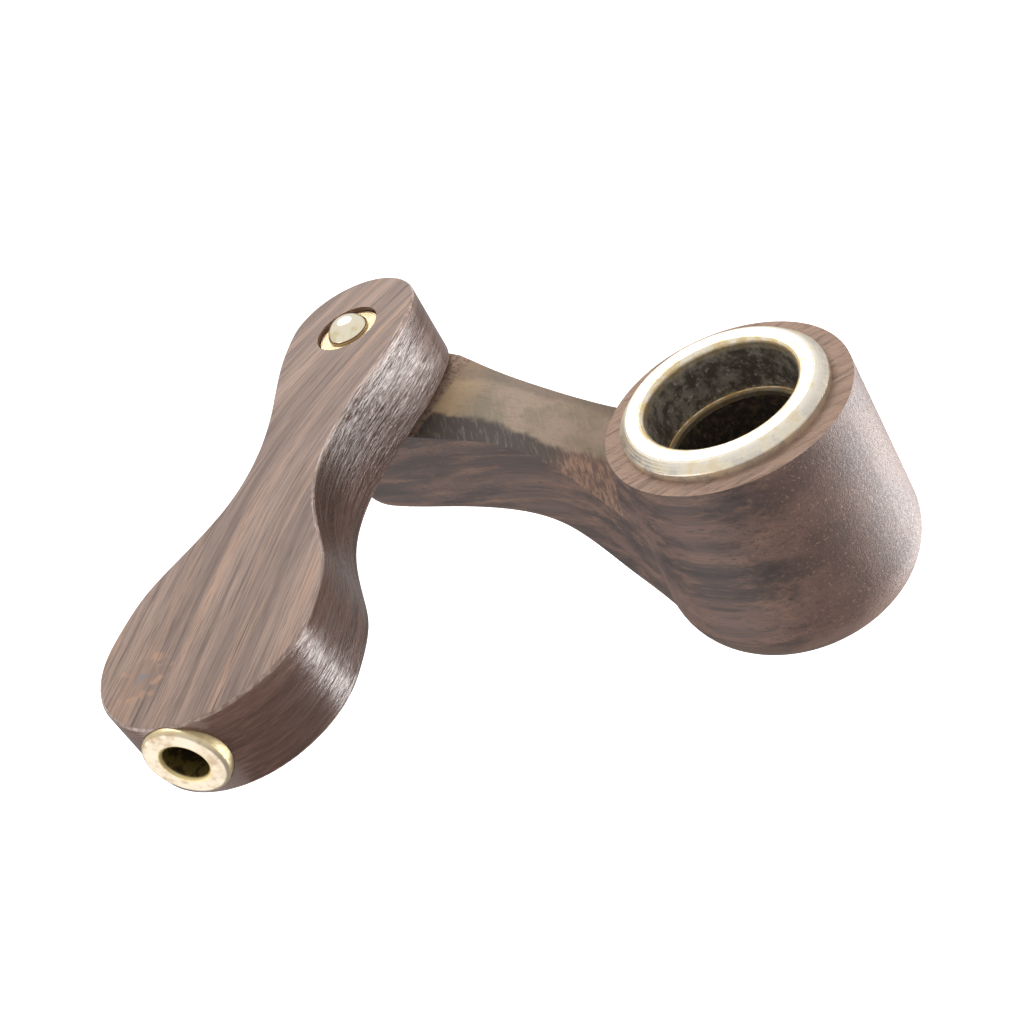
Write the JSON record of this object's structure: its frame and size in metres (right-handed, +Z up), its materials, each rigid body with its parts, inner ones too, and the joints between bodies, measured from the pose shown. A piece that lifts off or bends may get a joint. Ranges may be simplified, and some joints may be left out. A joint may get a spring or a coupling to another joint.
{
  "type": "folding pocket pipe",
  "caption": "Folding pocket pipe: a scooped wooden body with a brass-lined bowl, and a flat swivelling arm that is both stem and lid.",
  "frame": {"origin": "on the axis of the bowl's bore, in the plane of the bowl's wooden rim", "axes": "+Z up out of the bowl along its bore, +X from the arm's pivot towards the bowl, +Y to complete a right-handed frame; the arm is stored 72.25 degrees clockwise from +X, seen from above, as pictured"},
  "size_m": [0.0721, 0.0749, 0.0415],
  "materials": {
    "body_wood": "oiled dark hardwood with a satin sheen",
    "arm_wood": "oiled dark hardwood, sanded matte on top",
    "liner_brass": "pale worn brass, sooty in the bore",
    "ferrule_brass": "pale satin brass",
    "pin_brass": "polished brass",
    "washer_brass": "dull brass",
    "spring_steel": "blued spring steel"
  },
  "bodies": {
    "bowl_half": {"bowl_body": "body_wood", "bowl_liner": "liner_brass", "pivot_pin": "pin_brass", "head_washer": "washer_brass", "spring_washer": "spring_steel", "tail_washer": "washer_brass", "tail_nut": "washer_brass"},
    "arm_half": {"swivel_arm": "arm_wood", "mouth_ferrule": "ferrule_brass"}
  },
  "joints": [
    {"name": "arm_swing", "type": "hinge", "parent": "bowl_half", "child": "arm_half", "pos_m": [-0.0478, 0, 0.0022], "axis": [0, 0, 1], "continuous": true}
  ]
}
